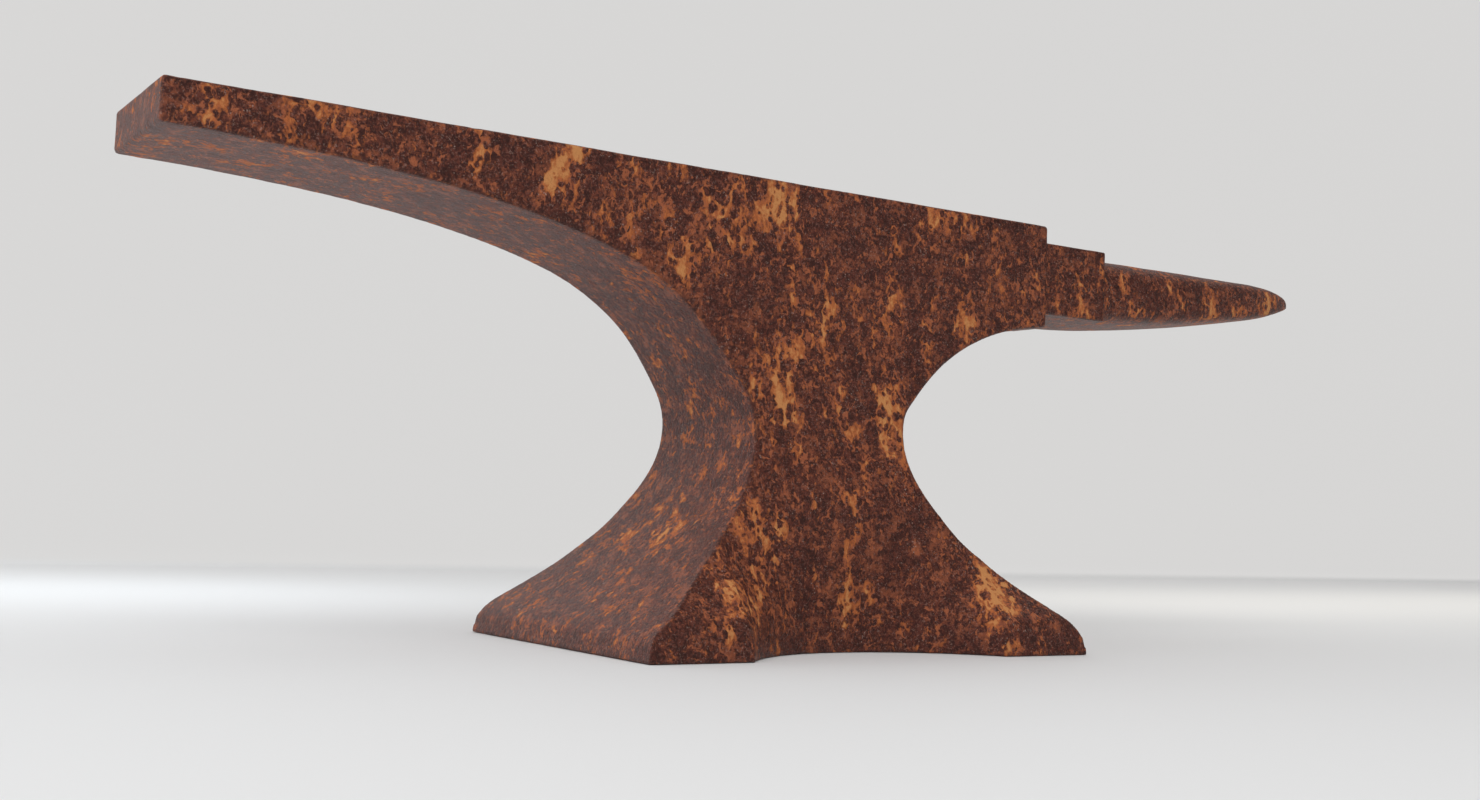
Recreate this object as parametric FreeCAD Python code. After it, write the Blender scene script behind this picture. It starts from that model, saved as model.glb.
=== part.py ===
import FreeCAD, Part
import math
import os

# A long-heeled smith's anvil, divided into the nine forgings that are welded together to make it.
# Millimetres. The origin is the centre of the base's underside, +X points along the horn, +Z up,
# and the anvil is the same on both sides of the plane Y = 0.

Vector = FreeCAD.Vector

# Driving dimensions
ANVIL_HEIGHT = 290.0  # floor to working face
FACE_WIDTH = 100.0
FACE_THICKNESS = 11.0  # steel plate that carries the working face
HEEL_END_X = -416.0
HEEL_END_Z = 266.0  # underside of the heel at its free end
FACE_END_X = 184.0
BODY_END_Z = 219.0  # underside of the body where the table begins

BASE_LENGTH = 326.0
BASE_WIDTH = 232.0
TOE_LEAN = 3.0  # how far a toe leans in from the floor to its ridge
END_TOE_HEIGHT = 12.0
SIDE_TOE_HEIGHT = 19.0
END_SLOPE = 0.73  # fall of the base towards its two ends, just above the toes
SIDE_SLOPE = 1.2  # and towards its two sides

TABLE_LENGTH = 59.0
TABLE_WIDTH = 95.0
TABLE_BOTTOM_Z = 228.6

HORN_LENGTH = 255.5
HORN_ROOT_WIDTH = 88.0
HORN_TAPER = 0.62  # share of the root's width that is lost by the tip
HORN_ROOT_TOP_Z = 277.5
HORN_RIDGE_RISE = 4.0  # how far the ridge climbs towards the tip
HORN_ROOT_BOTTOM_Z = 229.4
HORN_BELLY_RISE = 33.0  # how far the belly climbs towards the tip
BELLY_POWER = 1.52  # the belly climbs, and the width shrinks, later the higher these powers are
TAPER_POWER = 1.4
HORN_TIP_Z = 269.2
NOSE_START = 0.74  # share of the horn's length where its nose begins to round off
NOSE_POWER = 2.2  # roundness powers: 2 is an ellipse, more is squarer
TIP_POWER = 6.0
BELLY_CORNER = 6.0
RIDGE_CORNER = 3.4
WIDEST_SHARE = 0.42  # share of a cross-section's height at which it is widest
HORN_SECTIONS = 12
SECTION_POINTS = 28
SECTION_CROWDING = 1.7  # over 1, the cross-sections stand closer together towards the tip
LAST_SHARE = 0.9985  # where the last cross-section stands, just short of the tip

HEEL_WELD_X = -116.0  # weld faces between the forgings
FOOT_WELD_X = 40.0
FOOT_WELD_Y = 54.0
FOOT_TOP_Z = 87.0

EDGE_RADIUS = 2.0
TABLE_EDGE_RADIUS = 1.5
HOLLOW_TOP_Z = 102.0  # the hollows between the feet have run out below this height
HOLLOW_REACH = 112.0

FACE_HALF = FACE_WIDTH / 2
BASE_HALF_X = BASE_LENGTH / 2
BASE_HALF_Y = BASE_WIDTH / 2
PLATE_UNDERSIDE_Z = ANVIL_HEIGHT - FACE_THICKNESS
TABLE_END_X = FACE_END_X + TABLE_LENGTH
FAR = 600.0  # beyond the anvil in every direction
NEAR = 1.0  # an edge that lies this near to a plane of the anvil is on it

# Outline of the side view as (X, Z): from the free end of the heel, and of the body, to the waist,
# and from the waist to the ridge above each toe
HEEL_THROAT = [(HEEL_END_X, HEEL_END_Z), (-316, 261.2), (-240, 252.5), (-181, 240.3),
               (-134, 223.7), (-101, 201.5), (-72, 167.5), (-60, 134)]
HEEL_SPREAD = [(-60, 134), (-67, 106), (-88.5, 75), (-117.5, 47), (-152.5, 20)]
HORN_THROAT = [(FACE_END_X, BODY_END_Z), (150, 213.3), (117, 200.7), (86, 180.3), (62.5, 156), (55.5, 134)]
HORN_SPREAD = [(55.5, 134), (63.5, 105), (87, 73), (118, 44.9), (152.5, 19.9)]
# Outline of the end view as (half width, Z): from the upright side down to the ridge above its toe
SIDE_SPREAD = [(FACE_HALF, 206), (52.5, 175), (57, 135), (65.5, 98), (76, 73), (89, 48), (110.5, 24)]
# Level sections of the hollow between two feet: height, half width of the base at the hollow's
# middle and at its two ends, and half the distance between those ends
HOLLOW_SECTIONS = [(-6, 69, 117.5, 96), (28, 69, 106.5, 96), (54, 69, 84.5, 95.5), (78, 68.5, 73.6, 91),
                   (HOLLOW_TOP_Z, 66, 66.6, 60)]

DOWN = Vector(0, 0, -1)
HEEL_RUN = Vector(1, 0, -0.03)  # the way the heel's underside leaves its free end
BODY_RUN = Vector(-1, 0, -0.13)  # the way the body's underside leaves the table


def line(a, b):
    return Part.LineSegment(a, b).toShape()


def curve(points, start, end):
    """A smooth edge through points that leaves and arrives in the directions start and end."""
    spline = Part.BSplineCurve()
    spline.interpolate(points, InitialTangent=start, FinalTangent=end)
    return spline.toShape()


def block(x, y, z):
    """A box between the two values of each of x, y and z."""
    return Part.makeBox(x[1] - x[0], y[1] - y[0], z[1] - z[0], Vector(x[0], y[0], z[0]))


def side_point(x, z):
    return Vector(x, -FAR, z)


def end_point(y, z):
    return Vector(-FAR, y, z)


def toe(place, side, half, height, ridge, slope):
    """Edges of a toe: an arc down from the point ridge, where it has that slope, then out to the floor."""
    top_x = half - TOE_LEAN
    across = top_x - ridge[0]
    down = ridge[1] - height
    half_turn = math.atan2(down, across) - math.atan(slope)
    bulge = math.tan(half_turn / 2) / 2
    middle_x = (top_x + ridge[0]) / 2 + bulge * down
    middle_z = (height + ridge[1]) / 2 + bulge * across
    foot = place(side * half, 0)
    top = place(side * top_x, height)
    rounded = Part.Arc(top, place(side * middle_x, middle_z), place(side * ridge[0], ridge[1]))
    return [line(foot, top), rounded.toShape()]


def side_view():
    """The anvil from heel to body end as a flat face, seen from the side."""
    edges = [line(side_point(HEEL_END_X, ANVIL_HEIGHT), side_point(HEEL_END_X, HEEL_END_Z))]
    edges.append(curve([side_point(*p) for p in HEEL_THROAT], HEEL_RUN, DOWN))
    edges.append(curve([side_point(*p) for p in HEEL_SPREAD], DOWN, Vector(-1, 0, -END_SLOPE)))
    edges.append(curve([side_point(*p) for p in HORN_SPREAD], DOWN, Vector(1, 0, -END_SLOPE)))
    edges.append(curve([side_point(*p) for p in HORN_THROAT], BODY_RUN, DOWN))
    heel_ridge_x, heel_ridge_z = HEEL_SPREAD[-1]
    edges += toe(side_point, -1, BASE_HALF_X, END_TOE_HEIGHT, (-heel_ridge_x, heel_ridge_z), END_SLOPE)
    edges += toe(side_point, 1, BASE_HALF_X, END_TOE_HEIGHT, HORN_SPREAD[-1], END_SLOPE)
    edges.append(line(side_point(-BASE_HALF_X, 0), side_point(BASE_HALF_X, 0)))
    edges.append(line(side_point(FACE_END_X, BODY_END_Z), side_point(FACE_END_X, ANVIL_HEIGHT)))
    edges.append(line(side_point(FACE_END_X, ANVIL_HEIGHT), side_point(HEEL_END_X, ANVIL_HEIGHT)))
    return Part.Face(Part.Wire(Part.__sortEdges__(edges)))


def end_view():
    """The same part of the anvil as a flat face, seen from the heel."""
    shoulder_z = SIDE_SPREAD[0][1]
    edges = []
    for side in (-1, 1):
        edges += toe(end_point, side, BASE_HALF_Y, SIDE_TOE_HEIGHT, SIDE_SPREAD[-1], SIDE_SLOPE)
        spread = [end_point(side * y, z) for y, z in SIDE_SPREAD]
        edges.append(curve(spread, DOWN, Vector(0, side, -SIDE_SLOPE)))
        shoulder = end_point(side * FACE_HALF, shoulder_z)
        edges.append(line(shoulder, end_point(side * FACE_HALF, ANVIL_HEIGHT)))
    edges.append(line(end_point(-BASE_HALF_Y, 0), end_point(BASE_HALF_Y, 0)))
    edges.append(line(end_point(-FACE_HALF, ANVIL_HEIGHT), end_point(FACE_HALF, ANVIL_HEIGHT)))
    return Part.Face(Part.Wire(Part.__sortEdges__(edges)))


def hollow_section(z, middle, ends, half_length, side):
    """One level section of a hollow: an arc towards the body, square behind."""
    sag = ends - middle
    radius = (half_length**2 + sag**2) / (2 * sag)
    reach = middle + radius - math.sqrt(radius**2 - HOLLOW_REACH**2)
    back = BASE_HALF_Y + HOLLOW_REACH
    left = Vector(-HOLLOW_REACH, side * reach, z)
    right = Vector(HOLLOW_REACH, side * reach, z)
    back_left = Vector(-HOLLOW_REACH, side * back, z)
    back_right = Vector(HOLLOW_REACH, side * back, z)
    arc = Part.Arc(left, Vector(0, side * middle, z), right).toShape()
    return Part.Wire([arc, line(right, back_right), line(back_right, back_left), line(back_left, left)])


def hollow(side):
    """What is missing from one side of the base, so that it stands on a foot at each corner."""
    return Part.makeLoft([hollow_section(*section, side) for section in HOLLOW_SECTIONS], True, False)


def is_rounded(point):
    """True at an edge of the face, the heel, the body's end or the throats, which are all worn round."""
    face_or_heel_end = point.z > ANVIL_HEIGHT - NEAR or point.x < HEEL_END_X + NEAR
    body_end = point.x > FACE_END_X - NEAR and point.z > BODY_END_Z + NEAR
    shoulder_z = SIDE_SPREAD[0][1]
    waist_x = HORN_THROAT[-1][0]
    above_shoulder = point.z > shoulder_z + NEAR and abs(point.y) > FACE_HALF - NEAR
    below_shoulder = SIDE_SPREAD[-1][1] < point.z < shoulder_z and abs(point.y) > FACE_HALF
    along_throat = below_shoulder and abs(point.x) > waist_x - NEAR
    return face_or_heel_end or body_end or above_shoulder or along_throat


def anvil_body():
    """Face, heel, waist and base as one outer shape, before it is divided into forgings."""
    body = side_view().extrude(Vector(0, 2 * FAR, 0)).common(end_view().extrude(Vector(2 * FAR, 0, 0)))
    for side in (-1, 1):
        body = body.cut(hollow(side))
    rounded = []
    for edge in body.Edges:
        middle = edge.valueAt((edge.FirstParameter + edge.LastParameter) / 2)
        if is_rounded(middle):
            rounded.append(edge)
    return body.makeFillet(EDGE_RADIUS, rounded)


def table():
    """The soft cutting table, one step below the face."""
    half = TABLE_WIDTH / 2
    plain = block((FACE_END_X, TABLE_END_X), (-half, half), (TABLE_BOTTOM_Z, PLATE_UNDERSIDE_Z))
    rounded = [edge for edge in plain.Edges if edge.BoundBox.XMax > FACE_END_X + NEAR]
    return plain.makeFillet(TABLE_EDGE_RADIUS, rounded)


def horn_section(share):
    """The horn's cross-section at a share of its length: round above, nearly flat below."""
    nose = max(0, (share - NOSE_START) / (1 - NOSE_START))
    fullness = math.sqrt(1 - nose**NOSE_POWER)
    top = HORN_ROOT_TOP_Z + HORN_RIDGE_RISE * share
    bottom = HORN_ROOT_BOTTOM_Z + HORN_BELLY_RISE * share**BELLY_POWER
    top = HORN_TIP_Z + (top - HORN_TIP_Z) * fullness
    bottom = HORN_TIP_Z + (bottom - HORN_TIP_Z) * fullness
    half = HORN_ROOT_WIDTH / 2 * (1 - HORN_TAPER * share**TAPER_POWER) * math.sqrt(1 - share**TIP_POWER)
    middle = bottom + WIDEST_SHARE * (top - bottom)
    x = TABLE_END_X + HORN_LENGTH * share
    points = []
    for i in range(SECTION_POINTS):
        angle = 2 * math.pi * i / SECTION_POINTS
        across = math.cos(angle)
        up = math.sin(angle)
        corner = RIDGE_CORNER if up >= 0 else BELLY_CORNER
        reach = top - middle if up >= 0 else middle - bottom
        y = math.copysign(abs(across) ** (2 / corner), across) * half
        z = middle + math.copysign(abs(up) ** (2 / corner), up) * reach
        points.append(Vector(x, y, z))
    spline = Part.BSplineCurve()
    spline.interpolate(points, PeriodicFlag=True)
    return Part.Wire([spline.toShape()])


def horn():
    """The horn, its sections closer together towards the tip."""
    shares = [1 - (1 - i / HORN_SECTIONS) ** SECTION_CROWDING for i in range(HORN_SECTIONS)]
    shares.append(LAST_SHARE)
    return Part.makeLoft([horn_section(share) for share in shares], True, False)


def foot(end, side):
    """The room that one corner foot takes up: end is -1 at the heel, side is -1 on the near side."""
    x = sorted((end * FOOT_WELD_X, end * FAR))
    y = sorted((side * FOOT_WELD_Y, side * FAR))
    return block(x, y, (-FAR, FOOT_TOP_Z))


def forgings():
    """Every forging by the name of its node."""
    whole = anvil_body()
    wide = (-FAR, FAR)
    feet = {
        "foot_heel_left": foot(-1, -1),
        "foot_heel_right": foot(-1, 1),
        "foot_horn_left": foot(1, -1),
        "foot_horn_right": foot(1, 1),
    }
    heel_room = block((-FAR, HEEL_WELD_X), wide, (FOOT_TOP_Z, PLATE_UNDERSIDE_Z))
    plate_room = block(wide, wide, (PLATE_UNDERSIDE_Z, FAR))
    pieces = {"face_plate": whole.common(plate_room), "heel": whole.common(heel_room)}
    core = whole.cut(plate_room).cut(heel_room)
    for name, room in feet.items():
        pieces[name] = whole.common(room)
        core = core.cut(room)
    pieces["body_core"] = core
    pieces["cutting_table"] = table()
    pieces["horn"] = horn()
    return pieces


def main():
    os.makedirs("parts", exist_ok=True)
    for name, shape in forgings().items():
        if len(shape.Solids) != 1 or not shape.isValid():
            raise ValueError(name + " is not one sound solid")
        shape.Solids[0].exportStep(os.path.join("parts", name + ".step"))
        print(name, round(shape.Volume / 1000), "cm3")


main()
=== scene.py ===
import math

import bmesh
import bpy
import numpy as np
from bpy.props import FloatProperty, FloatVectorProperty, IntProperty, PointerProperty
from mathutils import Matrix, Vector, noise


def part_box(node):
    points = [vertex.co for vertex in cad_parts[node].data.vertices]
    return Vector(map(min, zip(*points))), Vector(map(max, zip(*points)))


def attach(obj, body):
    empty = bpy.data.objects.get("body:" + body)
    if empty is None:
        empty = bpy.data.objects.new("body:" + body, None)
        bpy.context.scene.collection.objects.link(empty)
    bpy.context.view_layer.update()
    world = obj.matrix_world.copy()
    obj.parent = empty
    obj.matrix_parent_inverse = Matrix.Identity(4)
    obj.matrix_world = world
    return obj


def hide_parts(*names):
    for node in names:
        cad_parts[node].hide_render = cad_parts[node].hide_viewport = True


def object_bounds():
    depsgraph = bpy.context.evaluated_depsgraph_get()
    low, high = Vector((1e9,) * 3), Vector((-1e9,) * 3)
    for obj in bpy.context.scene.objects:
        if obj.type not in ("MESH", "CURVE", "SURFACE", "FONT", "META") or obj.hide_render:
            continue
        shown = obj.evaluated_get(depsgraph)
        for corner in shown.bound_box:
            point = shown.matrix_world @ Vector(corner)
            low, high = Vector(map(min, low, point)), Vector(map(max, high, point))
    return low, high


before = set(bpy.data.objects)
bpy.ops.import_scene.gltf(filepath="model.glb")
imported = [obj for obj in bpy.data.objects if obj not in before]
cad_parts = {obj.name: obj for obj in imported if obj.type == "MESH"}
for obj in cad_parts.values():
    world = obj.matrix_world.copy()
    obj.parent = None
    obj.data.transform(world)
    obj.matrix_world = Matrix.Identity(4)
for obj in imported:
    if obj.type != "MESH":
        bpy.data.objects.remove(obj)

bl_info = {
    "name": "Rusted Smith's Anvil",
    "version": (1, 0, 0),
    "blender": (4, 5, 0),
    "location": "View3D > Sidebar > Anvil",
    "description": "Forges a pitted, rusted skin round the anvil's frame, cuts it into its nine forgings "
                   "and sets it up in a pale studio",
    "category": "Object",
}

CAD_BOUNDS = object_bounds()  # before any piece is made, so this is the frame's own box
FRAME_LOW, FRAME_HIGH = CAD_BOUNDS

MM = 0.001
BLANK_NAME = "anvil_blank"
FAR = 2.0  # past the anvil on every side

RIDGE_ROUNDS = 14  # how far the skin is evened out to find what stands proud of it
SWAY_CONTRAST = 0.8
PIT_SHARE = 0.55  # radius of a pit, as a share of the distance between pits
PIT_SHUFFLE = 7.3  # moves each pit's depth away from the pattern of the pits' places
PIECE_SHARP_ANGLE = math.radians(62)

GRAIN_WIDTH = 1.3 * MM
MOTTLE_WIDTH = 11 * MM
PIT_WIDTH = 3.4 * MM
STREAK_WIDTH = 1.6 * MM
STREAK_RUN = 14.0  # a dribble is this many times longer than wide
PATCH_RUN = 2.3
SPOT_EDGE = 0.16  # softness of a dark spot's edge
BARE_ROUGHNESS = 0.42
BUMP_DEPTH = 1.6 * MM

EDGE_DRIPS = 4  # wet places along the plate's lower edge
# How far a wet place reaches along the anvil, out to the side and up, in MM
EDGE_REACH = (18, 25, 30)
WAIST_REACH = (16, 30, 46)
FOOT_REACH = (22, 30, 44)
LANDING_REACH = (36, 60, 24)  # where the throat under the heel lands on the feet
HORN_REACH = (14, 30, 24)

SHOULDER = 1.5 * MM  # the weld stands this far out from a shoulder, past its inside corner
TOP_STEP = 1.0 * MM  # the plate's weld stands this far over the table

STUDIO_HALF = 30.0
WALL_HEIGHT = 3.5
COVE_RADIUS = 0.03
COVE_STEPS = 12
COVE_SHARP_ANGLE = math.radians(30)
WALL_FOOT = 9 * MM  # the floor turns into the glowing wall by this height
BACK_FLOOR_DROP = 1 * MM


def paint(red, green, blue):
    """Scene colour of a paint that a screen shows as these 0-255 values."""
    def scene_value(value):
        share = value / 255
        return share / 12.92 if share <= 0.04045 else ((share + 0.055) / 1.055) ** 2.4

    return scene_value(red), scene_value(green), scene_value(blue)


# ---------------------------------------------------------------- settings


class ForgedSkinSettings(bpy.types.PropertyGroup):
    """Sizes of the skin that is forged round the frame"""

    facet: FloatProperty(
        name="Facet", description="Width of one facet of the skin",
        default=1.6 * MM, min=1.0 * MM, subtype="DISTANCE", unit="LENGTH")
    edge_rounds: IntProperty(
        name="Edge Rounds", description="How many times the skin is evened out, which rounds its edges",
        default=1, min=0, max=20)
    sway_depth: FloatProperty(
        name="Sway Depth", description="How far the hammered faces sink between their high spots",
        default=0.35 * MM, subtype="DISTANCE", unit="LENGTH")
    sway_width: FloatProperty(
        name="Sway Width", description="Distance from one high spot to the next",
        default=46 * MM, subtype="DISTANCE", unit="LENGTH")
    pit_depth: FloatProperty(
        name="Pit Depth", description="Depth of the deepest rust pits",
        default=0.45 * MM, subtype="DISTANCE", unit="LENGTH")
    pit_width: FloatProperty(
        name="Pit Width", description="Distance between neighbouring rust pits",
        default=9 * MM, subtype="DISTANCE", unit="LENGTH")


class RustSettings(bpy.types.PropertyGroup):
    """Colours and pattern sizes of the rust"""

    # The darkest crust; also the colour of the painted shade line along the convex edges, and of the darker
    # inside corners.
    scale_and_shade_colour: FloatVectorProperty(
        name="Black Scale", description="Darkest crust, in the pits",
        default=paint(58, 25, 18), size=3, subtype="COLOR")
    crust_colour: FloatVectorProperty(
        name="Crust", description="Brown crust that covers most of the iron",
        default=paint(110, 55, 41), size=3, subtype="COLOR")
    red_colour: FloatVectorProperty(
        name="Red Rust", description="Redder grains in the crust",
        default=paint(176, 98, 62), size=3, subtype="COLOR")
    bloom_colour: FloatVectorProperty(
        name="Bloom", description="Orange rust that has run down in patches",
        default=paint(194, 108, 58), size=3, subtype="COLOR")
    heart_colour: FloatVectorProperty(
        name="Bloom Heart", description="Yellower middle of an orange patch",
        default=paint(216, 152, 92), size=3, subtype="COLOR")
    # Colour of the pale wisps, and of the pale specks, which are painted glints of light on the crust.
    dust_and_glint_colour: FloatVectorProperty(
        name="Dust", description="Pale specks that sit on the crust",
        default=paint(170, 146, 134), size=3, subtype="COLOR")
    patch_width: FloatProperty(
        name="Patch Width", description="Width of an orange patch",
        default=22 * MM, subtype="DISTANCE", unit="LENGTH")
    spot_width: FloatProperty(
        name="Spot Width", description="Distance between the dark spots inside a patch",
        default=8 * MM, subtype="DISTANCE", unit="LENGTH")
    spread: FloatProperty(
        name="Spread", description="How much of the surface the orange patches cover",
        default=0.36, min=0.0, max=1.0, subtype="FACTOR")


class StudioSettings(bpy.types.PropertyGroup):
    """Floor, wall and lights of the studio"""

    floor_colour: FloatVectorProperty(
        name="Floor", description="Paint of the floor",
        default=paint(229, 229, 229), size=3, subtype="COLOR")
    wall_colour: FloatVectorProperty(
        name="Wall", description="Paint of the wall, under its own glow",
        default=paint(64, 64, 64), size=3, subtype="COLOR")
    wall_glow: FloatVectorProperty(
        name="Wall Glow", description="Light that the wall gives off",
        default=paint(209, 208, 207), size=3, subtype="COLOR")
    wall_distance: FloatProperty(
        name="Wall Distance", description="From the middle of the anvil to the wall behind it",
        default=1.12, subtype="DISTANCE", unit="LENGTH")
    ambient: FloatProperty(
        name="Ambient", description="Strength of the light that comes from low down all round",
        default=0.06, min=0.0)
    dome: FloatProperty(
        name="Dome", description="Strength of the light that comes from the ceiling",
        default=0.98, min=0.0)
    gloss_share: FloatProperty(
        name="Gloss Share", description="How much of the ceiling's light glossy surfaces mirror",
        default=0.35, min=0.0, max=1.0, subtype="FACTOR")
    backdrop: FloatProperty(
        name="Backdrop", description="How bright the air looks where the wall ends",
        default=0.66, min=0.0)
    overhead_power: FloatProperty(
        name="Overhead Power", description="Power of the large light over the anvil",
        default=30.0, min=0.0, subtype="POWER", unit="POWER")


# ---------------------------------------------------------------- mesh work


def settings_of(name):
    """The scene's own copy of one of the groups of settings."""
    return getattr(bpy.context.scene, name)


def linked(name, data):
    """A new object in the scene that holds this data."""
    made = bpy.data.objects.new(name, data)
    bpy.context.scene.collection.objects.link(made)
    return made


def with_modifiers_applied(holder):
    """The mesh that an object's modifiers leave, in place of the object."""
    bpy.context.view_layer.update()
    graph = bpy.context.evaluated_depsgraph_get()
    made = bpy.data.meshes.new_from_object(holder.evaluated_get(graph))
    bpy.data.objects.remove(holder)
    return made


def joined_frame():
    """All the frame's nodes as one mesh, for the skin to close over."""
    work = bmesh.new()
    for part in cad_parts.values():
        work.from_mesh(part.data)
    bmesh.ops.remove_doubles(work, verts=work.verts, dist=0.001 * MM)
    made = bpy.data.meshes.new("joined_frame")
    work.to_mesh(made)
    work.free()
    return made


def skin_over(mesh, facet):
    """One closed skin of even square facets on the mesh's outside, with no walls left inside."""
    holder = linked("skin_work", mesh)
    target = linked("skin_target", mesh.copy())
    remesh = holder.modifiers.new("skin", "REMESH")
    remesh.mode = "VOXEL"
    remesh.voxel_size = facet
    remesh.adaptivity = 0.0
    fit = holder.modifiers.new("fit", "SHRINKWRAP")
    fit.target = target
    fit.wrap_method = "NEAREST_SURFACEPOINT"
    skin = with_modifiers_applied(holder)
    bpy.data.objects.remove(target)
    return skin


def read(collection, field, width):
    """One row of numbers for each vertex or edge."""
    values = np.empty(len(collection) * width)
    collection.foreach_get(field, values)
    return values.reshape(-1, width)


def evened(places, ends, rounds, share=0.5):
    """The places after each has moved towards the mean of its neighbours, some rounds over."""
    count = len(places)
    neighbours = np.bincount(ends.ravel(), minlength=count)
    for _ in range(rounds):
        mean = np.stack([
            np.bincount(ends[:, 0], places[ends[:, 1], axis], count)
            + np.bincount(ends[:, 1], places[ends[:, 0], axis], count)
            for axis in range(3)], axis=1) / neighbours[:, None]
        places = places + share * (mean - places)
    return places


def sway_at(place, width):
    """0 on the high spots a hammer left, and 1 in the dips between them."""
    return min(max(0.5 + SWAY_CONTRAST * noise.fractal(place / width, 1.0, 2.0, 2), 0.0), 1.0)


def pit_at(place, width):
    """0 on sound metal, and up to 1 in the middle of a rust pit."""
    distances, centres = noise.voronoi(place / width)
    how_deep = 0.5 + noise.noise(centres[0] * PIT_SHUFFLE)
    return max(how_deep, 0.0) * max(0.0, 1.0 - distances[0] / PIT_SHARE) ** 2


def write_value(mesh, name, values):
    made = mesh.attributes.new(name, "FLOAT", "POINT")
    made.data.foreach_set("value", values.astype(np.float32))


def forge_skin(skin, sizes):
    """Rounds the skin's edges, notes where they are, and sinks the pits into it."""
    ends = read(skin.edges, "vertices", 2).astype(int)
    places = evened(read(skin.vertices, "co", 3), ends, sizes.edge_rounds)
    skin.vertices.foreach_set("co", places.ravel())
    skin.update()
    normals = read(skin.vertex_normals, "vector", 3)
    wide = evened(places, ends, RIDGE_ROUNDS)
    ridge = np.einsum("ij,ij->i", places - wide, normals) / MM
    write_value(skin, "ridge", ridge)
    depths = np.array([
        sizes.sway_depth * sway_at(place, sizes.sway_width)
        + sizes.pit_depth * pit_at(place, sizes.pit_width)
        for place in map(Vector, places)])
    places = places - normals * depths[:, None]
    places[:, 2] = np.maximum(places[:, 2], FRAME_LOW.z)
    skin.vertices.foreach_set("co", places.ravel())
    skin.update()


def box_object(low, high):
    """A box to cut with, from its lowest to its highest corner."""
    work = bmesh.new()
    bmesh.ops.create_cube(work, size=1.0)
    middle = [(a + b) / 2 for a, b in zip(low, high)]
    lengths = [b - a for a, b in zip(low, high)]
    bmesh.ops.scale(work, verts=work.verts, vec=lengths)
    bmesh.ops.translate(work, verts=work.verts, vec=middle)
    mesh = bpy.data.meshes.new("cutter")
    work.to_mesh(mesh)
    work.free()
    return linked("cutter", mesh)


def cut(mesh, cutter, operation):
    """What is left of a mesh after it is cut with a box, with the mesh itself unchanged."""
    holder = linked("cut_work", mesh.copy())
    boolean = holder.modifiers.new("cut", "BOOLEAN")
    boolean.solver = "MANIFOLD"
    boolean.operation = operation
    boolean.object = cutter
    return with_modifiers_applied(holder)


def blank():
    """The part of the skin that no piece has been cut from yet."""
    if BLANK_NAME not in bpy.data.meshes:
        raise RuntimeError("forge the skin first: there is no blank to cut pieces from")
    return bpy.data.meshes[BLANK_NAME]


def keep_blank(mesh):
    """Puts a mesh in the old blank's place, as what is left to cut pieces from."""
    if BLANK_NAME in bpy.data.meshes:
        bpy.data.meshes.remove(bpy.data.meshes[BLANK_NAME])
    mesh.name = BLANK_NAME
    mesh.use_fake_user = True


def finish_piece(name, mesh, material):
    """Puts a cut mesh in the scene as the piece that stands for the frame's node of that name."""
    for face in mesh.polygons:
        face.use_smooth = True
    mesh.set_sharp_from_angle(angle=PIECE_SHARP_ANGLE)
    mesh.materials.clear()
    mesh.materials.append(material)
    piece = linked(name + "_skin", mesh)
    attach(piece, "root")
    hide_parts(name)
    return piece


def cut_off(name, low, high, material):
    """Cuts the part of the blank inside a box off it, as a closed piece."""
    cutter = box_object(low, high)
    piece_mesh = cut(blank(), cutter, "INTERSECT")
    rest = cut(blank(), cutter, "DIFFERENCE")
    bpy.data.objects.remove(cutter)
    if not piece_mesh.polygons or not rest.polygons:
        raise RuntimeError(f"nothing was cut off for {name}")
    keep_blank(rest)
    return finish_piece(name, piece_mesh, material)


# ---------------------------------------------------------------- node helpers


def node(tree, kind, sockets=None, **values):
    """A shader node with its settings and sockets filled in: a socket takes a number or a link."""
    made = tree.nodes.new("ShaderNode" + kind)
    for name, value in values.items():
        setattr(made, name, value)
    for name, value in (sockets or {}).items():
        if isinstance(value, bpy.types.NodeSocket):
            tree.links.new(value, made.inputs[name])
        else:
            made.inputs[name].default_value = value
    return made


def number(tree, operation, *values):
    """One step of arithmetic on numbers or links."""
    return node(tree, "Math", dict(enumerate(values)), operation=operation).outputs[0]


def vector(tree, operation, sockets):
    """One step of arithmetic on points or colours."""
    return node(tree, "VectorMath", sockets, operation=operation).outputs[0]


def ramp(tree, value, low, high, bottom=0.0, top=1.0):
    """bottom where the value is under low, top where it is over high, and smooth between."""
    sockets = {"Value": value, "From Min": low, "From Max": high, "To Min": bottom, "To Max": top}
    return node(tree, "MapRange", sockets, interpolation_type="SMOOTHSTEP").outputs["Result"]


def product(tree, first, second):
    return number(tree, "MULTIPLY", first, second)


def mix_numbers(tree, share, first, second):
    """The first number, giving way to the second by the share."""
    return node(tree, "Mix", {0: share, 2: first, 3: second}, data_type="FLOAT").outputs[0]


def mix_colours(tree, share, first, second):
    """The first colour, giving way to the second by the share. A colour is a link or three numbers."""
    sockets = {0: share}
    for place, given in ((6, first), (7, second)):
        sockets[place] = given if isinstance(given, bpy.types.NodeSocket) else (*given, 1.0)
    return node(tree, "Mix", sockets, data_type="RGBA", blend_type="MIX").outputs[2]


def noise_at(tree, place, width, detail=3.0, roughness=0.55, distortion=0.0):
    """0-1 noise whose features are about that wide."""
    scale = number(tree, "DIVIDE", 1.0, width)
    made = node(tree, "TexNoise", {
        "Vector": place, "Scale": scale, "Detail": detail, "Roughness": roughness, "Distortion": distortion})
    return made.outputs[0]


def cells_at(tree, place, width):
    """Cells of about that width, each with its own colour and the distance to its middle."""
    scale = number(tree, "DIVIDE", 1.0, width)
    return node(tree, "TexVoronoi", {"Vector": place, "Scale": scale}, feature="F1")


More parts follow.
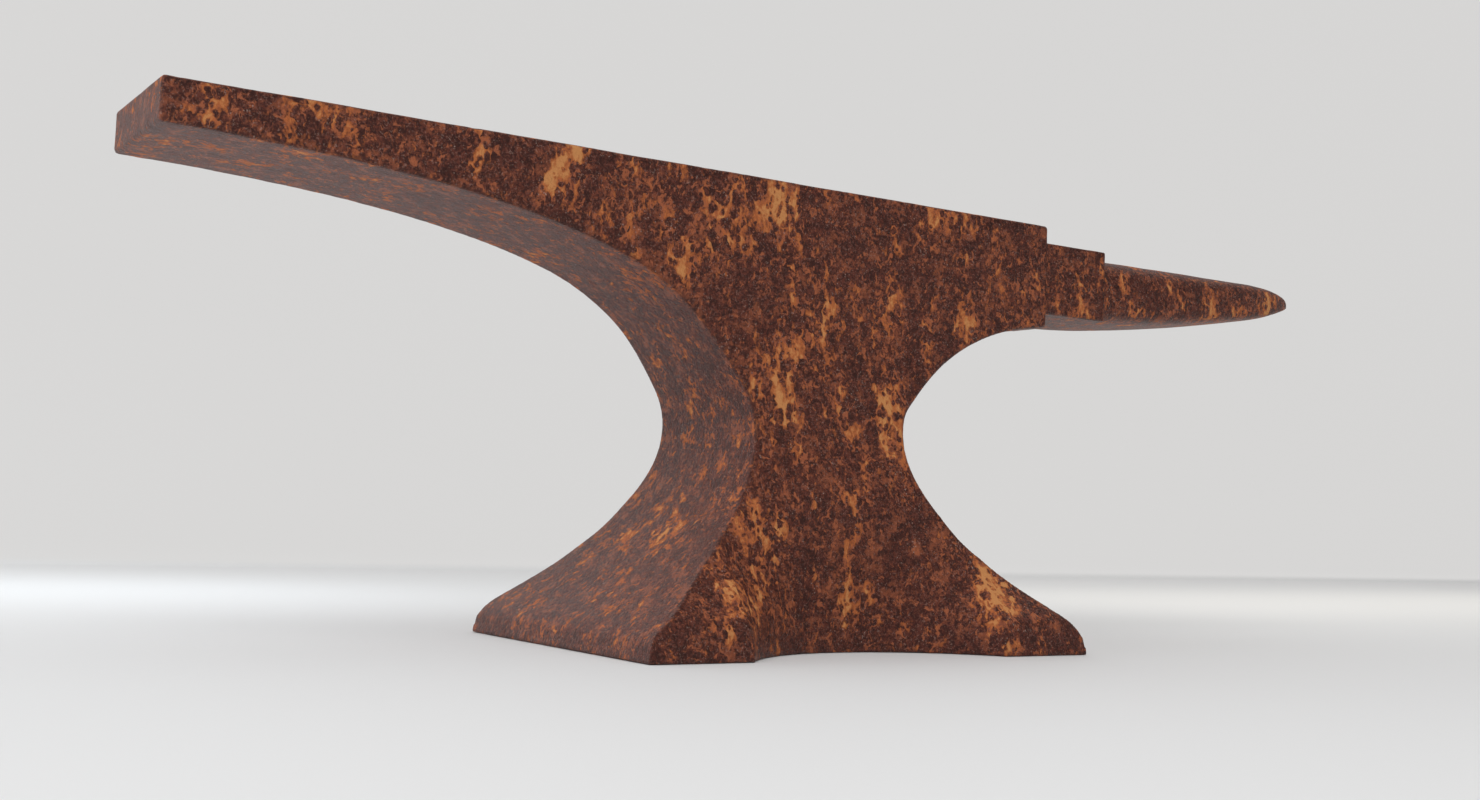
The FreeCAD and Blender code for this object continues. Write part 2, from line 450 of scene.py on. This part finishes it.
def new_group(name, inputs, outputs):
    """An empty node group with these numbers going in, by name and default, and these coming out."""
    tree = bpy.data.node_groups.new(name, "ShaderNodeTree")
    for title, default in inputs.items():
        socket = tree.interface.new_socket(title, in_out="INPUT", socket_type="NodeSocketFloat")
        socket.default_value = default
    for title in outputs:
        tree.interface.new_socket(title, in_out="OUTPUT", socket_type="NodeSocketFloat")
    return tree, tree.nodes.new("NodeGroupInput").outputs, tree.nodes.new("NodeGroupOutput").inputs


def stretched(tree, place, along_x, along_z):
    """Coordinates in which a pattern comes out longer along X and Z by these factors."""
    shares = node(tree, "CombineXYZ", {
        "X": number(tree, "DIVIDE", 1.0, along_x), "Y": 1.0, "Z": number(tree, "DIVIDE", 1.0, along_z)})
    return vector(tree, "MULTIPLY", {0: place, 1: shares.outputs[0]})


def wavered(tree, place, width, reach):
    """Coordinates pushed about, so that what is drawn with them loses its neat outline."""
    scale = number(tree, "DIVIDE", 1.0, width)
    made = node(tree, "TexNoise", {"Vector": place, "Scale": scale, "Detail": 2.0})
    centred = vector(tree, "SUBTRACT", {0: made.outputs["Color"], 1: (0.5, 0.5, 0.5)})
    pushed = vector(tree, "SCALE", {0: centred, "Scale": reach})
    return vector(tree, "ADD", {0: place, 1: pushed})


# ---------------------------------------------------------------- rust effects, painted glints and painted edge shade


def dark_spots(tree, place, width, largest):
    """0 inside round spots of many sizes, one to a cell and some cells without, and 1 between them."""
    cells = cells_at(tree, place, width)
    chance = node(tree, "SeparateColor", {0: cells.outputs["Color"]}).outputs[0]
    radius = number(tree, "MULTIPLY_ADD", chance, largest * 1.15, largest * -0.15)
    past = number(tree, "DIVIDE", number(tree, "SUBTRACT", cells.outputs["Distance"], radius), SPOT_EDGE)
    return number(tree, "MINIMUM", number(tree, "MAXIMUM", past, 0.0), 1.0)


def wet_places():
    """Where water stands or runs down: the middle of each place, given out to one side, and its reach.

    All come from the boxes of the frame's nodes."""
    plate_low, plate_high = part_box("face_plate")
    horn_low, horn_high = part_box("horn")
    heel_foot_low, heel_foot_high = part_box("foot_heel_left")
    horn_foot_low, horn_foot_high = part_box("foot_horn_left")
    places = []
    for drip in range(EDGE_DRIPS):
        share = (drip + 0.5) / EDGE_DRIPS
        x = plate_low.x + share * (plate_high.x - plate_low.x)
        places.append(((x, plate_high.y, plate_low.z), EDGE_REACH))
    for x in (heel_foot_high.x, horn_foot_low.x):
        places.append(((x, plate_high.y, FRAME_HIGH.z / 2), WAIST_REACH))
    for low, high in ((heel_foot_low, heel_foot_high), (horn_foot_low, horn_foot_high)):
        places.append((((low.x + high.x) / 2, 0.8 * FRAME_HIGH.y, high.z / 3), FOOT_REACH))
    places.append((((heel_foot_low.x + heel_foot_high.x) / 2, 0.0, heel_foot_high.z), LANDING_REACH))
    horn_middle_z = (horn_low.z + horn_high.z) / 2
    for share in (1 / 2, 5 / 6):
        x = horn_low.x + share * (horn_high.x - horn_low.x)
        places.append(((x, horn_high.y / 2, horn_middle_z), HORN_REACH))
    return places


def wetness(tree, place):
    """1 in the middle of a place where water has stood, falling to 0 at its edge."""
    mirrored = vector(tree, "ABSOLUTE", {0: place})
    sides = node(tree, "SeparateXYZ", {0: mirrored}).outputs["Y"]
    along = node(tree, "SeparateXYZ", {0: place}).outputs
    both = node(tree, "CombineXYZ", {"X": along["X"], "Y": sides, "Z": along["Z"]}).outputs[0]
    wettest = 0.0
    for middle, reach in wet_places():
        offset = vector(tree, "SUBTRACT", {0: both, 1: middle})
        share = vector(tree, "DIVIDE", {0: offset, 1: tuple(a * MM for a in reach)})
        away = node(tree, "VectorMath", {0: share}, operation="LENGTH").outputs["Value"]
        wettest = number(tree, "MAXIMUM", wettest, number(tree, "SUBTRACT", 1.0, away))
    return wettest


def rust_bloom_group():
    """Orange patches that run down the sides, with small flecks round them and dark spots in them."""
    tree, given, made = new_group(
        "Rust Bloom", {"Patch Width": 22 * MM, "Spot Width": 8 * MM, "Run": PATCH_RUN, "Spread": 0.4},
        ("Fleck", "Bloom", "Heart"))
    coordinates = node(tree, "TexCoord")
    place = coordinates.outputs["Object"]
    facing = node(tree, "SeparateXYZ", {0: coordinates.outputs["Normal"]}).outputs["Y"]
    on_side = ramp(tree, number(tree, "ABSOLUTE", facing), 0.6, 0.85)
    run = mix_numbers(tree, on_side, 0.8, given["Run"])
    running = stretched(tree, wavered(tree, place, 0.02, 0.012), 1.0, run)
    rounder = stretched(tree, wavered(tree, place, 0.004, 0.003), 1.0, 1.25)

    patch = noise_at(tree, running, given["Patch Width"], detail=2.0, roughness=0.5)
    ragged = noise_at(tree, running, product(tree, given["Patch Width"], 0.27), detail=3.0, roughness=0.6)
    fine = noise_at(tree, place, 0.0022, detail=3.0, roughness=0.65)
    wet = wetness(tree, wavered(tree, place, 0.03, 0.02))
    shape = number(tree, "MULTIPLY_ADD", ragged, 0.8, product(tree, patch, 0.75))
    shape = number(tree, "MULTIPLY_ADD", wet, 0.28, shape)
    shape = number(tree, "MULTIPLY_ADD", fine, 0.22, shape)
    large = dark_spots(tree, rounder, given["Spot Width"], 0.7)
    small = dark_spots(tree, rounder, product(tree, given["Spot Width"], 0.5), 0.55)
    eaten = number(tree, "MULTIPLY_ADD", large, 0.19, product(tree, small, 0.14))
    shape = number(tree, "ADD", shape, eaten)
    level = number(tree, "SUBTRACT", 1.475, product(tree, given["Spread"], 0.4))
    level = number(tree, "MULTIPLY_ADD", on_side, -0.03, level)
    over = number(tree, "SUBTRACT", shape, level)
    tree.links.new(ramp(tree, over, 0.03, 0.17), made["Heart"])

    # Off the sides the flecks are fewer, and their middles are as bright as a bloom.
    scatter = noise_at(tree, rounder, 0.0056, detail=3.0, roughness=0.65, distortion=1.0)
    flecks = number(tree, "MULTIPLY_ADD", patch, 0.35, number(tree, "MULTIPLY_ADD", fine, 0.3, scatter))
    flecks = number(tree, "SUBTRACT", flecks, mix_numbers(tree, on_side, 0.04, 0.0))
    tree.links.new(product(tree, ramp(tree, flecks, 0.85, 0.97), small), made["Fleck"])
    bright = product(tree, ramp(tree, flecks, 0.88, 0.98), mix_numbers(tree, on_side, 0.8, 0.0))
    tree.links.new(number(tree, "MAXIMUM", ramp(tree, over, -0.07, 0.07), bright), made["Bloom"])
    return tree


def crust_group():
    """Uneven brown crust: its grain, its darker hollows, redder clots, pale wisps, and pale specks that are
    painted glints of light.
    """
    tree, given, made = new_group(
        "Rust Crust", {"Grain Width": GRAIN_WIDTH, "Mottle Width": MOTTLE_WIDTH},
        ("Grain", "Hollow", "Clot", "Wisp", "Glint Speck"))
    place = node(tree, "TexCoord").outputs["Object"]
    grain = noise_at(tree, place, given["Grain Width"], detail=3.0, roughness=0.7)
    lump_width = product(tree, given["Grain Width"], 2.6)
    lumps = noise_at(tree, place, lump_width, detail=3.0, roughness=0.7, distortion=0.6)
    both = number(tree, "MULTIPLY_ADD", lumps, 0.45, product(tree, grain, 0.55))
    tree.links.new(ramp(tree, both, 0.40, 0.60), made["Grain"])

    mottle = noise_at(tree, place, given["Mottle Width"], detail=4.0, roughness=0.65)
    cells = cells_at(tree, wavered(tree, place, 0.004, 0.005), product(tree, given["Mottle Width"], 0.45))
    sunk = number(tree, "MULTIPLY_ADD", mottle, -1.3, product(tree, cells.outputs["Distance"], -0.5))
    tree.links.new(ramp(tree, sunk, -0.84, -0.66), made["Hollow"])
    clotted = number(tree, "ADD", mottle, product(tree, lumps, 0.6))
    tree.links.new(ramp(tree, clotted, 0.82, 0.98), made["Clot"])

    winding = noise_at(tree, place, product(tree, given["Mottle Width"], 0.4), detail=2.0, distortion=1.4)
    off_line = number(tree, "ABSOLUTE", number(tree, "SUBTRACT", winding, 0.5))
    line = ramp(tree, off_line, 0.0, 0.03, bottom=1.0, top=0.0)
    tree.links.new(product(tree, line, ramp(tree, grain, 0.45, 0.65)), made["Wisp"])

    # The pale specks are painted glints: highlights of light on the grains, drawn in the dust colour in rings
    # and clusters.
    glint_cells = cells_at(tree, place, product(tree, given["Grain Width"], 1.2))
    chance = node(tree, "SeparateColor", {0: glint_cells.outputs["Color"]}).outputs[0]
    lit = number(tree, "GREATER_THAN", chance, 0.55)
    dot = ramp(tree, glint_cells.outputs["Distance"], 0.12, 0.42, bottom=1.0, top=0.0)
    rings = cells_at(tree, wavered(tree, place, 0.005, 0.003), 0.0085)
    off_ring = number(tree, "ABSOLUTE", number(tree, "SUBTRACT", rings.outputs["Distance"], 0.3))
    ring = ramp(tree, off_ring, 0.03, 0.13, bottom=1.0, top=0.0)
    cluster = ramp(tree, noise_at(tree, place, 0.024, detail=3.0, roughness=0.6), 0.46, 0.6)
    tree.links.new(product(tree, product(tree, lit, dot), product(tree, ring, cluster)), made["Glint Speck"])
    return tree


def streak_group():
    """Thin dribbles that run down where a surface turns over from top to side, and on steep slopes."""
    tree, given, made = new_group(
        "Rust Streaks", {"Streak Width": STREAK_WIDTH, "Run": STREAK_RUN}, ("Streak",))
    coordinates = node(tree, "TexCoord")
    running = stretched(tree, coordinates.outputs["Object"], 1.0, given["Run"])
    lines = noise_at(tree, running, given["Streak Width"], detail=2.0, roughness=0.6)
    rise = node(tree, "SeparateXYZ", {0: coordinates.outputs["Normal"]}).outputs["Z"]
    not_level = ramp(tree, rise, 0.8, 0.97, bottom=1.0, top=0.0)
    turning = product(tree, ramp(tree, rise, 0.12, 0.4), not_level)
    tree.links.new(product(tree, ramp(tree, lines, 0.58, 0.72), turning), made["Streak"])
    return tree


def pitting_group():
    """Height of the rough crust, 0 in the pits and 1 on the grains."""
    tree, given, made = new_group(
        "Rust Pitting", {"Grain Width": GRAIN_WIDTH, "Pit Width": PIT_WIDTH}, ("Height",))
    place = node(tree, "TexCoord").outputs["Object"]
    grain = noise_at(tree, place, given["Grain Width"], detail=4.0, roughness=0.65)
    lumps = noise_at(tree, place, product(tree, given["Pit Width"], 1.6), detail=3.0, roughness=0.6)
    pits = cells_at(tree, wavered(tree, place, 0.003, 0.0015), given["Pit Width"])
    rim = ramp(tree, pits.outputs["Distance"], 0.05, 0.45)
    high = number(tree, "ADD", product(tree, grain, 0.5), product(tree, lumps, 0.45))
    tree.links.new(number(tree, "ADD", high, product(tree, rim, 0.22)), made["Height"])
    return tree


def edge_wear_and_shade_group():
    """Where the edges stand out and rub, with a line of painted shade along them, and where the inside
    corners are darkened.
    """
    tree, given, made = new_group("Edge Wear", {"Reach": 1.0}, ("Worn And Shaded", "Inner Corner Dark"))
    ridge = node(tree, "Attribute", attribute_name="ridge", attribute_type="GEOMETRY").outputs["Fac"]
    place = node(tree, "TexCoord").outputs["Object"]
    broken = noise_at(tree, place, 0.006, detail=4.0, roughness=0.7)
    reach = product(tree, ridge, given["Reach"])
    # The rubbed edges are smoother, and darkened with painted shade: the dark line that light leaves along a
    # rounded edge.
    worn_and_shaded = product(tree, ramp(tree, reach, 0.25, 0.9), ramp(tree, broken, 0.4, 0.6))
    tree.links.new(worn_and_shaded, made["Worn And Shaded"])
    # The inside corners are darker, by how far they sink below the evened skin.
    tree.links.new(ramp(tree, product(tree, reach, -1.0), 0.15, 0.9), made["Inner Corner Dark"])
    return tree


def group_node(tree, maker, **values):
    """A node group, built the first time it is asked for, with its own values."""
    title = maker.__name__
    found = next((g for g in bpy.data.node_groups if g.get("effect") == title), None)
    if found is None:
        found = maker()
        found["effect"] = title
    made = tree.nodes.new("ShaderNodeGroup")
    made.node_tree = found
    for name, value in values.items():
        made.inputs[name.replace("_", " ").title()].default_value = value
    return made.outputs


def rusted_metal(name):
    """A rusted iron or steel, built the first time it is asked for from the shared rust effects."""
    material = bpy.data.materials.get(name)
    if material is not None:
        return material
    colours = settings_of("anvil_rust")
    material = bpy.data.materials.new(name)
    material.use_nodes = True
    tree = material.node_tree
    surface = next(n for n in tree.nodes if n.type == "BSDF_PRINCIPLED")
    bloom = group_node(tree, rust_bloom_group, patch_width=colours.patch_width, spot_width=colours.spot_width,
                       run=PATCH_RUN, spread=colours.spread)
    crust = group_node(tree, crust_group, grain_width=GRAIN_WIDTH, mottle_width=MOTTLE_WIDTH)
    pitting = group_node(tree, pitting_group, grain_width=GRAIN_WIDTH, pit_width=PIT_WIDTH)
    edges = group_node(tree, edge_wear_and_shade_group, reach=1.0)
    streaks = group_node(tree, streak_group, streak_width=STREAK_WIDTH, run=STREAK_RUN)

    # Each coat lies over the ones before it, this thickly where its mask is full.
    colour = mix_colours(tree, crust["Grain"], colours.scale_and_shade_colour, colours.crust_colour)
    for mask, thickness, paint_over in (
            (crust["Clot"], 0.45, colours.red_colour),
            (crust["Hollow"], 0.65, colours.scale_and_shade_colour),
            (crust["Wisp"], 0.6, colours.dust_and_glint_colour),
            (bloom["Fleck"], 0.9, colours.red_colour),
            (streaks["Streak"], 0.75, colours.red_colour),
            # painted glints of light, in pale specks
            (crust["Glint Speck"], 0.85, colours.dust_and_glint_colour),
            (bloom["Bloom"], 0.9, colours.bloom_colour),
            (bloom["Heart"], 0.8, colours.heart_colour),
            # painted shade along the convex edges, partly darker rubbed iron
            (edges["Worn And Shaded"], 0.5, colours.scale_and_shade_colour),
            # darker inside corners
            (edges["Inner Corner Dark"], 0.7, colours.scale_and_shade_colour)):
        colour = mix_colours(tree, product(tree, mask, thickness), colour, paint_over)
    tree.links.new(colour, surface.inputs["Base Color"])

    roughness = number(tree, "MULTIPLY_ADD", bloom["Bloom"], 0.3, BARE_ROUGHNESS)
    roughness = number(tree, "MULTIPLY_ADD", crust["Grain"], 0.12, roughness)
    roughness = number(tree, "MULTIPLY_ADD", edges["Worn And Shaded"], -0.1, roughness)
    tree.links.new(roughness, surface.inputs["Roughness"])
    surface.inputs["Specular IOR Level"].default_value = 0.38
    bump = node(tree, "Bump", {"Height": pitting["Height"], "Distance": BUMP_DEPTH, "Strength": 1.0})
    tree.links.new(bump.outputs["Normal"], surface.inputs["Normal"])
    return material


def rusted_iron():
    return rusted_metal("forging_rust")


def rusted_steel():
    return rusted_metal("face_steel_rust")


# ---------------------------------------------------------------- weld lines


def heel_weld_x():
    """Where the heel is welded to the body, along the anvil."""
    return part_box("heel")[1].x


def table_weld_x():
    """Where the cutting table is welded to the body, along the anvil."""
    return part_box("cutting_table")[0].x + SHOULDER


def horn_weld_x():
    """Where the horn is welded to the cutting table, along the anvil."""
    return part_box("horn")[0].x + SHOULDER


def plate_weld_z():
    """Height of the weld under the face plate."""
    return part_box("face_plate")[0].z + TOP_STEP


# ---------------------------------------------------------------- one operator for each forging


class ANVIL_OT_skin(bpy.types.Operator):
    """Forge one pitted skin round the whole frame, for the pieces to be cut from"""

    bl_idname = "anvil.skin"
    bl_label = "Forge Skin"

    def execute(self, context):
        sizes = settings_of("anvil_skin")
        skin = skin_over(joined_frame(), sizes.facet)
        if not skin.polygons:
            raise RuntimeError("the skin came out empty")
        forge_skin(skin, sizes)
        keep_blank(skin)
        return {"FINISHED"}


class ANVIL_OT_horn(bpy.types.Operator):
    """Cut the horn off the blank"""

    bl_idname = "anvil.horn"
    bl_label = "Horn"

    def execute(self, context):
        cut_off("horn", (horn_weld_x(), -FAR, -FAR), (FAR, FAR, FAR), rusted_iron())
        return {"FINISHED"}


class ANVIL_OT_cutting_table(bpy.types.Operator):
    """Cut the step between the face and the horn off the blank"""

    bl_idname = "anvil.cutting_table"
    bl_label = "Cutting Table"

    def execute(self, context):
        cut_off("cutting_table", (table_weld_x(), -FAR, -FAR), (FAR, FAR, FAR), rusted_iron())
        return {"FINISHED"}


class ANVIL_OT_face_plate(bpy.types.Operator):
    """Cut the steel plate of the working face off the blank"""

    bl_idname = "anvil.face_plate"
    bl_label = "Face Plate"

    def execute(self, context):
        cut_off("face_plate", (-FAR, -FAR, plate_weld_z()), (FAR, FAR, FAR), rusted_steel())
        return {"FINISHED"}


class ANVIL_OT_heel(bpy.types.Operator):
    """Cut the long heel off the blank"""

    bl_idname = "anvil.heel"
    bl_label = "Heel"

    def execute(self, context):
        foot_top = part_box("foot_heel_left")[1].z
        cut_off("heel", (-FAR, -FAR, foot_top), (heel_weld_x(), FAR, FAR), rusted_iron())
        return {"FINISHED"}


class ANVIL_OT_feet(bpy.types.Operator):
    """Cut the four feet off the blank"""

    bl_idname = "anvil.feet"
    bl_label = "Feet"

    def execute(self, context):
        for end in ("heel", "horn"):
            for side in ("left", "right"):
                name = f"foot_{end}_{side}"
                low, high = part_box(name)
                reach_low = [-FAR if a < -abs(b) else a for a, b in zip(low, high)]
                reach_high = [FAR if b > abs(a) else b for a, b in zip(low, high)]
                reach_low[2], reach_high[2] = -FAR, high.z
                cut_off(name, reach_low, reach_high, rusted_iron())
        return {"FINISHED"}


class ANVIL_OT_body(bpy.types.Operator):
    """Keep what is left of the blank as the body"""

    bl_idname = "anvil.body"
    bl_label = "Body"

    def execute(self, context):
        finish_piece("body_core", blank().copy(), rusted_iron())
        bpy.data.meshes.remove(blank())
        return {"FINISHED"}


# ---------------------------------------------------------------- studio


def studio_paint(settings):
    """Matt floor paint that gives way to a glowing wall, and can be seen only from its own side."""
    material = bpy.data.materials.new("studio_paint")
    material.use_nodes = True
    tree = material.node_tree
    surface = next(n for n in tree.nodes if n.type == "BSDF_PRINCIPLED")
    place = node(tree, "TexCoord").outputs["Object"]
    height = node(tree, "SeparateXYZ", {0: place}).outputs["Z"]
    on_wall = ramp(tree, height, 0.0, WALL_FOOT)
    base = mix_colours(tree, on_wall, settings.floor_colour, settings.wall_colour)
    tree.links.new(base, surface.inputs["Base Color"])
    glow = mix_colours(tree, on_wall, (0.0, 0.0, 0.0), settings.wall_glow)
    tree.links.new(glow, surface.inputs["Emission Color"])
    surface.inputs["Emission Strength"].default_value = 1.0
    surface.inputs["Roughness"].default_value = 0.75
    bump = node(tree, "Bump", {"Height": noise_at(tree, place, 0.004), "Distance": 0.0002, "Strength": 0.3})
    tree.links.new(bump.outputs["Normal"], surface.inputs["Normal"])
    behind = node(tree, "NewGeometry").outputs["Backfacing"]
    clear = node(tree, "BsdfTransparent").outputs[0]
    seen = node(tree, "MixShader", {0: behind, 1: surface.outputs[0], 2: clear})
    output = next(n for n in tree.nodes if n.type == "OUTPUT_MATERIAL")
    tree.links.new(seen.outputs[0], output.inputs["Surface"])
    return material


def studio_sweep(settings):
    """Floor, cove and wall in one sheet, and the floor again behind the wall."""
    wall_y = settings.wall_distance
    outline = [(-STUDIO_HALF, 0.0)]
    for step in range(COVE_STEPS + 1):
        turn = step / COVE_STEPS * math.pi / 2
        y = wall_y - COVE_RADIUS + COVE_RADIUS * math.sin(turn)
        outline.append((y, COVE_RADIUS * (1 - math.cos(turn))))
    outline.append((wall_y, WALL_HEIGHT))
    points, faces = [], []
    for y, z in outline:
        points += [(-STUDIO_HALF, y, z), (STUDIO_HALF, y, z)]
    for row in range(len(outline) - 1):
        faces.append((2 * row, 2 * row + 1, 2 * row + 3, 2 * row + 2))
    behind = len(points)
    for y in (wall_y - COVE_RADIUS, STUDIO_HALF):
        points += [(-STUDIO_HALF, y, -BACK_FLOOR_DROP), (STUDIO_HALF, y, -BACK_FLOOR_DROP)]
    faces.append((behind, behind + 1, behind + 3, behind + 2))
    mesh = bpy.data.meshes.new("studio_sweep")
    mesh.from_pydata(points, [], faces)
    for face in mesh.polygons:
        face.use_smooth = True
    mesh.set_sharp_from_angle(angle=COVE_SHARP_ANGLE)
    mesh.materials.append(studio_paint(settings))
    return linked("studio_sweep", mesh)


def soft_light(name, place, aim, width, height, power, colour):
    """A large soft lamp at a place, turned to shine at its aim, that the camera doesn't see."""
    lamp = bpy.data.lights.new(name, "AREA")
    lamp.shape = "RECTANGLE"
    lamp.size, lamp.size_y = width, height
    lamp.energy = power
    lamp.color = colour
    made = linked(name, lamp)
    made.location = place
    made.visible_camera = False
    made.rotation_euler = (Vector(aim) - Vector(place)).to_track_quat("-Z", "Y").to_euler()
    return made


def studio_air(settings):
    """Light from a bright ceiling over a dim horizon, duller in a mirror and even behind everything."""
    sky = bpy.data.worlds.new("studio_air")
    sky.use_nodes = True
    air = sky.node_tree
    background = next(n for n in air.nodes if n.type == "BACKGROUND")
    background.inputs["Color"].default_value = (1.0, 1.0, 1.0, 1.0)
    height = node(air, "SeparateXYZ", {0: node(air, "TexCoord").outputs["Generated"]}).outputs["Z"]
    shine = ramp(air, height, 0.3, 0.85, bottom=settings.ambient, top=settings.dome)
    ray = node(air, "LightPath").outputs
    mirrored = product(air, shine, settings.gloss_share)
    shine = mix_numbers(air, ray["Is Glossy Ray"], shine, mirrored)
    shine = mix_numbers(air, ray["Is Camera Ray"], shine, settings.backdrop)
    air.links.new(shine, background.inputs["Strength"])
    return sky


def studio_camera():
    """A camera low down by the heel's end, looking along the near side and slightly up."""
    lens = bpy.data.cameras.new("studio_camera")
    lens.sensor_width = 36.0
    lens.lens = 39.635
    made = linked("studio_camera", lens)
    right = Vector((0.83525, -0.54878, 0.03463))
    up = Vector((-0.06844, -0.04126, 0.99680))
    back = right.cross(up)
    turned = Matrix((right, up, back)).transposed()
    made.matrix_world = Matrix.Translation((-0.60595, -0.87374, 0.08029)) @ turned.to_4x4()
    lens.clip_start, lens.clip_end = 0.01, 100.0
    bpy.context.scene.camera = made


# ---------------------------------------------------------------- stage, panel and main


class ANVIL_OT_stage(bpy.types.Operator):
    """Set up the pale floor and wall, the soft lights and the camera"""

    bl_idname = "anvil.stage"
    bl_label = "Studio"

    def execute(self, context):
        settings = settings_of("anvil_studio")
        studio_sweep(settings)
        context.scene.world = studio_air(settings)
        overhead = soft_light(
            "overhead", place=(-1.5, -1.5, 2.2), aim=(0.1, 0.2, 0.1), width=2.4, height=1.6,
            power=settings.overhead_power, colour=(1.0, 1.0, 1.0))
        overhead.visible_glossy = False
        soft_light(
            "left_window", place=(-2.4, 0.35, 0.8), aim=(-0.1, 0.0, 0.15), width=1.6, height=1.1,
            power=9.0, colour=(0.84, 0.92, 1.0))
        soft_light(
            "left_glow", place=(-0.62, 0.60, 0.30), aim=(-0.62, 0.60, 0.0), width=1.1, height=0.3,
            power=1.0, colour=(0.84, 0.93, 1.0))
        soft_light(
            "right_glow", place=(1.35, 0.42, 0.28), aim=(1.35, 0.42, 0.0), width=1.5, height=0.5,
            power=0.9, colour=(1.0, 0.95, 0.83))
        studio_camera()
        context.scene.view_settings.view_transform = "Standard"
        return {"FINISHED"}


STEPS = (ANVIL_OT_skin, ANVIL_OT_horn, ANVIL_OT_cutting_table, ANVIL_OT_face_plate, ANVIL_OT_heel,
         ANVIL_OT_feet, ANVIL_OT_body, ANVIL_OT_stage)


class ANVIL_PT_panel(bpy.types.Panel):
    """The steps that make the anvil, in order"""

    bl_idname = "ANVIL_PT_panel"
    bl_label = "Smith's Anvil"
    bl_space_type = "VIEW_3D"
    bl_region_type = "UI"
    bl_category = "Anvil"

    def draw(self, context):
        for step in STEPS:
            self.layout.operator(step.bl_idname)
        for name in SETTINGS:
            group = getattr(context.scene, name)
            box = self.layout.box()
            for title in group.bl_rna.properties.keys():
                if title not in ("rna_type", "name"):
                    box.prop(group, title)


SETTINGS = {"anvil_skin": ForgedSkinSettings, "anvil_rust": RustSettings, "anvil_studio": StudioSettings}


def register():
    for kind in (*SETTINGS.values(), *STEPS, ANVIL_PT_panel):
        bpy.utils.register_class(kind)
    for name, kind in SETTINGS.items():
        setattr(bpy.types.Scene, name, PointerProperty(type=kind))


def unregister():
    for name in SETTINGS:
        delattr(bpy.types.Scene, name)
    for kind in (ANVIL_PT_panel, *reversed(STEPS), *reversed(SETTINGS.values())):
        bpy.utils.unregister_class(kind)


def main():
    register()
    bpy.ops.anvil.skin()
    bpy.ops.anvil.horn()
    bpy.ops.anvil.cutting_table()
    bpy.ops.anvil.face_plate()
    bpy.ops.anvil.heel()
    bpy.ops.anvil.feet()
    bpy.ops.anvil.body()
    bpy.ops.anvil.stage()


if __name__ == "__main__":
    main()
